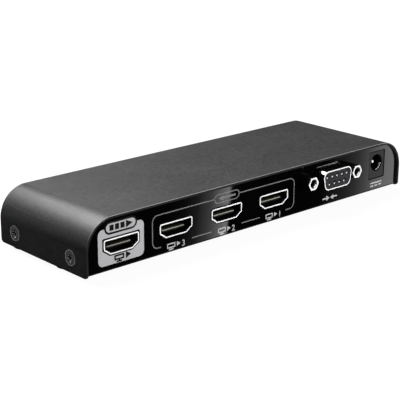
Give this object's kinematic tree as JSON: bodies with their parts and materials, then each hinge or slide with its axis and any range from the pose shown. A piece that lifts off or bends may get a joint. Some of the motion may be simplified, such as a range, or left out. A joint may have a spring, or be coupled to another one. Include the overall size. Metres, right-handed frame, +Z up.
{
  "type": "video switch box",
  "caption": "Low rounded metal box that passes a chosen video input on to its output, with a row of sockets along its back and a select button, lights and a window in front.",
  "frame": {"origin": "on the floor, under the middle of the whole outline, the serial socket included", "axes": "+Y towards the socket side, -Y towards the button side, +Z up, +X towards the output socket's end"},
  "size_m": [0.16, 0.0548, 0.0214],
  "materials": {
    "cover_paint": "fine-grained matte dark grey powder coat",
    "tray_paint": "matte black powder coat",
    "panel_film": "glossy black printed film",
    "black_screw": "black zinc, satin",
    "zinc_steel": "bright zinc plating",
    "foot_rubber": "matte black rubber",
    "board_laminate": "green solder mask, satin",
    "standoff_brass": "turned brass",
    "socket_nickel": "bright nickel plating",
    "contact_gold": "gold flash",
    "socket_plastic": "black moulded plastic, slight sheen",
    "jack_plastic": "black moulded plastic, satin",
    "tinned_metal": "matte tin plating",
    "window_plastic": "dark red polished plastic",
    "light_lens": "clear polished plastic",
    "button_plastic": "dark grey satin plastic",
    "chip_resin": "matte black resin",
    "receiver_resin": "polished black resin",
    "crystal_can": "drawn bright can",
    "ferrite": "matte pressed ferrite",
    "capacitor_aluminium": "brushed can",
    "ceramic_tan": "tan ceramic, satin"
  },
  "bodies": {
    "case": {"board_screws": "zinc_steel", "board_standoffs": "standoff_brass", "bottom_tray": "tray_paint", "capacitor_bases": "socket_plastic", "capacitor_cans": "capacitor_aluminium", "circuit_board": "board_laminate", "control_chip": "chip_resin", "crystal": "crystal_can", "driver_chip": "chip_resin", "foot_front_left": "foot_rubber", "foot_front_right": "foot_rubber", "foot_rear_left": "foot_rubber", "foot_rear_right": "foot_rubber", "front_panel": "panel_film", "front_window": "window_plastic", "light_and_receiver_legs": "tinned_metal", "power_inductor": "ferrite", "power_jack_blades": "tinned_metal", "power_jack_body": "jack_plastic", "power_jack_pin": "socket_nickel", "power_jack_spring": "tinned_metal", "rear_panel": "panel_film", "regulator_metal": "tinned_metal", "remote_receiver": "receiver_resin", "serial_brackets": "zinc_steel", "serial_contacts": "contact_gold", "serial_insulator": "socket_plastic", "serial_jack_screws": "socket_nickel", "serial_shell": "socket_nickel", "side_nuts": "zinc_steel", "side_screws": "black_screw", "small_capacitors": "ceramic_tan", "small_chip_leads": "tinned_metal", "small_resistors": "chip_resin", "socket_protectors": "chip_resin", "status_light_1": "light_lens", "status_light_2": "light_lens", "status_light_3": "light_lens", "status_light_holders": "socket_plastic", "status_light_power": "light_lens", "switch_body": "socket_plastic", "switch_chip": "chip_resin", "switch_chip_leads": "tinned_metal", "switch_frame": "tinned_metal", "top_cover": "cover_paint", "video_in_1_contacts": "contact_gold", "video_in_1_shell": "socket_nickel", "video_in_1_tongue": "socket_plastic", "video_in_2_contacts": "contact_gold", "video_in_2_shell": "socket_nickel", "video_in_2_tongue": "socket_plastic", "video_in_3_contacts": "contact_gold", "video_in_3_shell": "socket_nickel", "video_in_3_tongue": "socket_plastic", "video_out_contacts": "contact_gold", "video_out_shell": "socket_nickel", "video_out_tongue": "socket_plastic", "voltage_regulator": "chip_resin"},
    "button": {"select_button": "button_plastic", "switch_plunger": "socket_plastic"}
  },
  "joints": [
    {"name": "button_press", "type": "slide", "parent": "case", "child": "button", "axis": [0, 1, 0], "range_m": [0, 0.0005], "stiffness_N_per_m": 600, "springref_m": -0.001}
  ]
}
